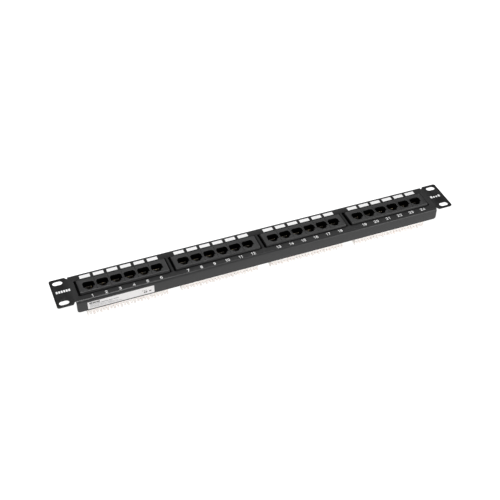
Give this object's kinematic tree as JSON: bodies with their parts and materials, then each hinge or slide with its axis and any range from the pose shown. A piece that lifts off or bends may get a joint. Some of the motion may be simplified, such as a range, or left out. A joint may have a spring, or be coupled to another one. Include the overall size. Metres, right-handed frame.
{
  "type": "patch panel",
  "caption": "Rack-mount network patch panel: folded steel plate with rack slots, snap-in jack modules with keyed sockets in front and wire termination strips behind.",
  "frame": {"origin": "centre of the panel's footprint, on the surface it lies on: the ends of the rear termination strips", "axes": "+X along the panel (port 1 to port 24), +Y towards the panel's upper edge in the rack, +Z out of the front face"},
  "size_m": [0.4826, 0.044, 0.033],
  "materials": {
    "powder_coated_steel": "matte black powder coat",
    "black_plastic": "satin black moulded plastic",
    "white_plastic": "satin off-white moulded plastic",
    "green_board": "green solder-masked board",
    "gilt_contacts": "gold-plated spring wire",
    "white_label": "white printed sticker"
  },
  "bodies": {
    "panel": {"front_panel": "powder_coated_steel", "rating_label": "white_label"},
    "module_1": {"module_1_bezel": "black_plastic", "module_1_circuit_board": "green_board", "module_1_idc_upper": "white_plastic", "module_1_idc_lower": "white_plastic", "port_01_contacts": "gilt_contacts", "port_02_contacts": "gilt_contacts", "port_03_contacts": "gilt_contacts", "port_04_contacts": "gilt_contacts", "port_05_contacts": "gilt_contacts", "port_06_contacts": "gilt_contacts"},
    "module_2": {"module_2_bezel": "black_plastic", "module_2_circuit_board": "green_board", "module_2_idc_upper": "white_plastic", "module_2_idc_lower": "white_plastic", "port_07_contacts": "gilt_contacts", "port_08_contacts": "gilt_contacts", "port_09_contacts": "gilt_contacts", "port_10_contacts": "gilt_contacts", "port_11_contacts": "gilt_contacts", "port_12_contacts": "gilt_contacts"},
    "module_3": {"module_3_bezel": "black_plastic", "module_3_circuit_board": "green_board", "module_3_idc_upper": "white_plastic", "module_3_idc_lower": "white_plastic", "port_13_contacts": "gilt_contacts", "port_14_contacts": "gilt_contacts", "port_15_contacts": "gilt_contacts", "port_16_contacts": "gilt_contacts", "port_17_contacts": "gilt_contacts", "port_18_contacts": "gilt_contacts"},
    "module_4": {"module_4_bezel": "black_plastic", "module_4_circuit_board": "green_board", "module_4_idc_upper": "white_plastic", "module_4_idc_lower": "white_plastic", "port_19_contacts": "gilt_contacts", "port_20_contacts": "gilt_contacts", "port_21_contacts": "gilt_contacts", "port_22_contacts": "gilt_contacts", "port_23_contacts": "gilt_contacts", "port_24_contacts": "gilt_contacts"}
  },
  "joints": [
    {"name": "module_1_slide", "type": "slide", "parent": "panel", "child": "module_1", "axis": [0, 0, -1], "range_m": [0, 0.02]},
    {"name": "module_2_slide", "type": "slide", "parent": "panel", "child": "module_2", "axis": [0, 0, -1], "range_m": [0, 0.02]},
    {"name": "module_3_slide", "type": "slide", "parent": "panel", "child": "module_3", "axis": [0, 0, -1], "range_m": [0, 0.02]},
    {"name": "module_4_slide", "type": "slide", "parent": "panel", "child": "module_4", "axis": [0, 0, -1], "range_m": [0, 0.02]}
  ]
}
